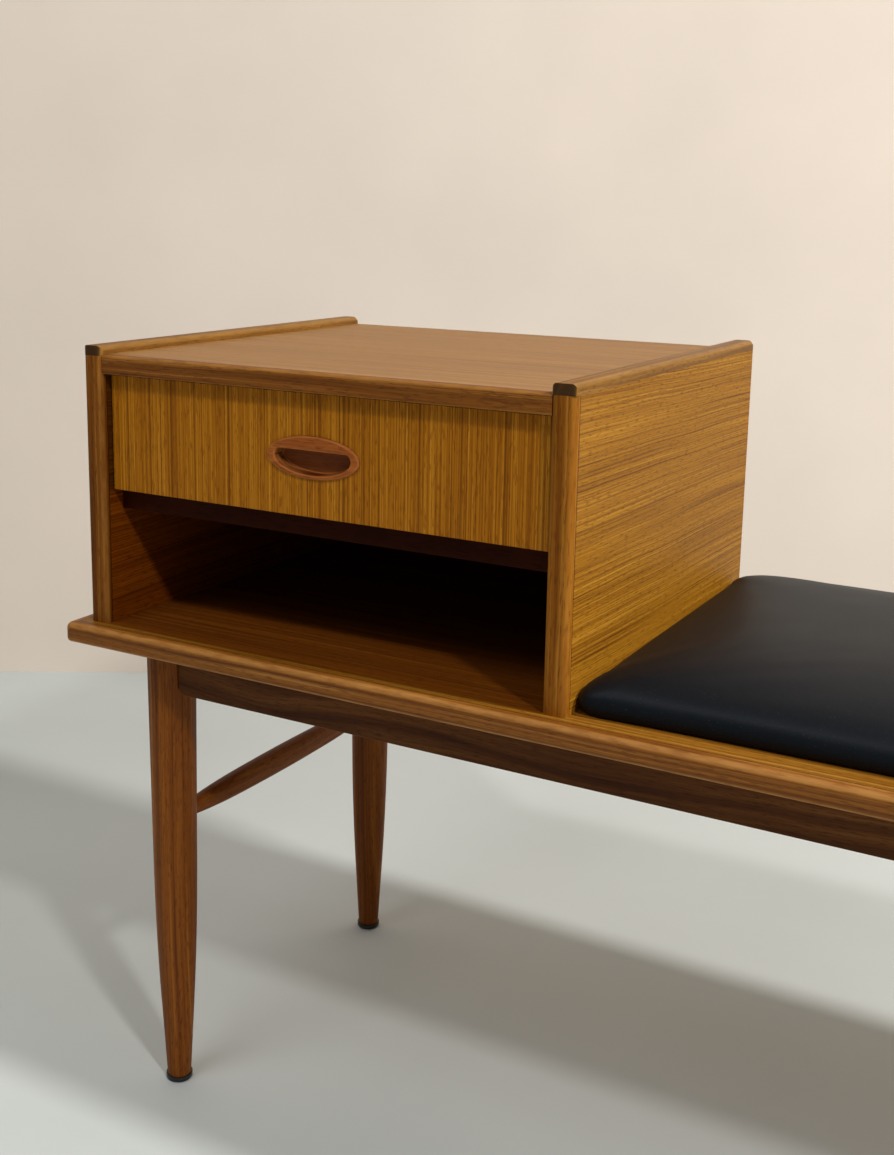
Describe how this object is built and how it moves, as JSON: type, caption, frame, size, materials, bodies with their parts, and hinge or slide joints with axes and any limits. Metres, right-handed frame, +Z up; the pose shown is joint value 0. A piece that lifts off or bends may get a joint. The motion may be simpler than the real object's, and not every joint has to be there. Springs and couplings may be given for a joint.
{
  "type": "telephone bench",
  "caption": "Telephone bench: a cabinet with a drawer over an open shelf beside a padded seat, on a long board with round tapered legs and side stretchers.",
  "frame": {"origin": "middle of the rectangle that the long board covers, on the floor", "axes": "+X to the right along the bench seen from the front, +Y to the back, +Z up; the drawer opens towards -Y"},
  "size_m": [1.09, 0.404, 0.633],
  "materials": {
    "veneer": "oiled teak veneer, fine dark grain lines",
    "solid_teak": "oiled solid teak",
    "pull_teak": "oiled solid teak, reddish",
    "base_teak": "oiled solid teak, dark reddish brown",
    "pale_wood": "planed pale hardwood",
    "plywood": "plain plywood",
    "leather": "smooth black leather with a soft sheen",
    "glide_plastic": "matte black",
    "steel": "plain steel"
  },
  "bodies": {
    "bench": {"bench_board": "veneer", "left_side_panel": "veneer", "right_side_panel": "veneer", "top_panel": "veneer", "drawer_divider": "veneer", "front_board_lipping": "solid_teak", "rear_board_lipping": "solid_teak", "left_board_lipping": "solid_teak", "right_board_lipping": "solid_teak", "left_front_lipping": "solid_teak", "right_front_lipping": "solid_teak", "left_top_lipping": "solid_teak", "right_top_lipping": "solid_teak", "top_front_lipping": "solid_teak", "front_apron": "base_teak", "rear_apron": "base_teak", "left_end_rail": "base_teak", "right_end_rail": "base_teak", "left_stretcher": "base_teak", "right_stretcher": "base_teak", "front_left_leg": "base_teak", "front_right_leg": "base_teak", "rear_left_leg": "base_teak", "rear_right_leg": "base_teak", "fixing_blocks": "pale_wood", "drawer_stops": "pale_wood", "cabinet_dowels": "pale_wood", "back_panel": "plywood", "seat_base": "plywood", "seat_cushion": "leather", "leg_glides": "glide_plastic", "back_panel_screws": "steel", "cabinet_screws": "steel", "fixing_screws": "steel", "seat_screws": "steel"},
    "drawer": {"drawer_front": "veneer", "drawer_pull": "pull_teak", "drawer_left_side": "pale_wood", "drawer_right_side": "pale_wood", "drawer_back": "pale_wood", "drawer_bottom": "plywood", "drawer_bottom_screws": "steel"}
  },
  "joints": [
    {"name": "drawer_slide", "type": "slide", "parent": "bench", "child": "drawer", "axis": [0, -1, 0], "range_m": [0, 0.24]}
  ]
}
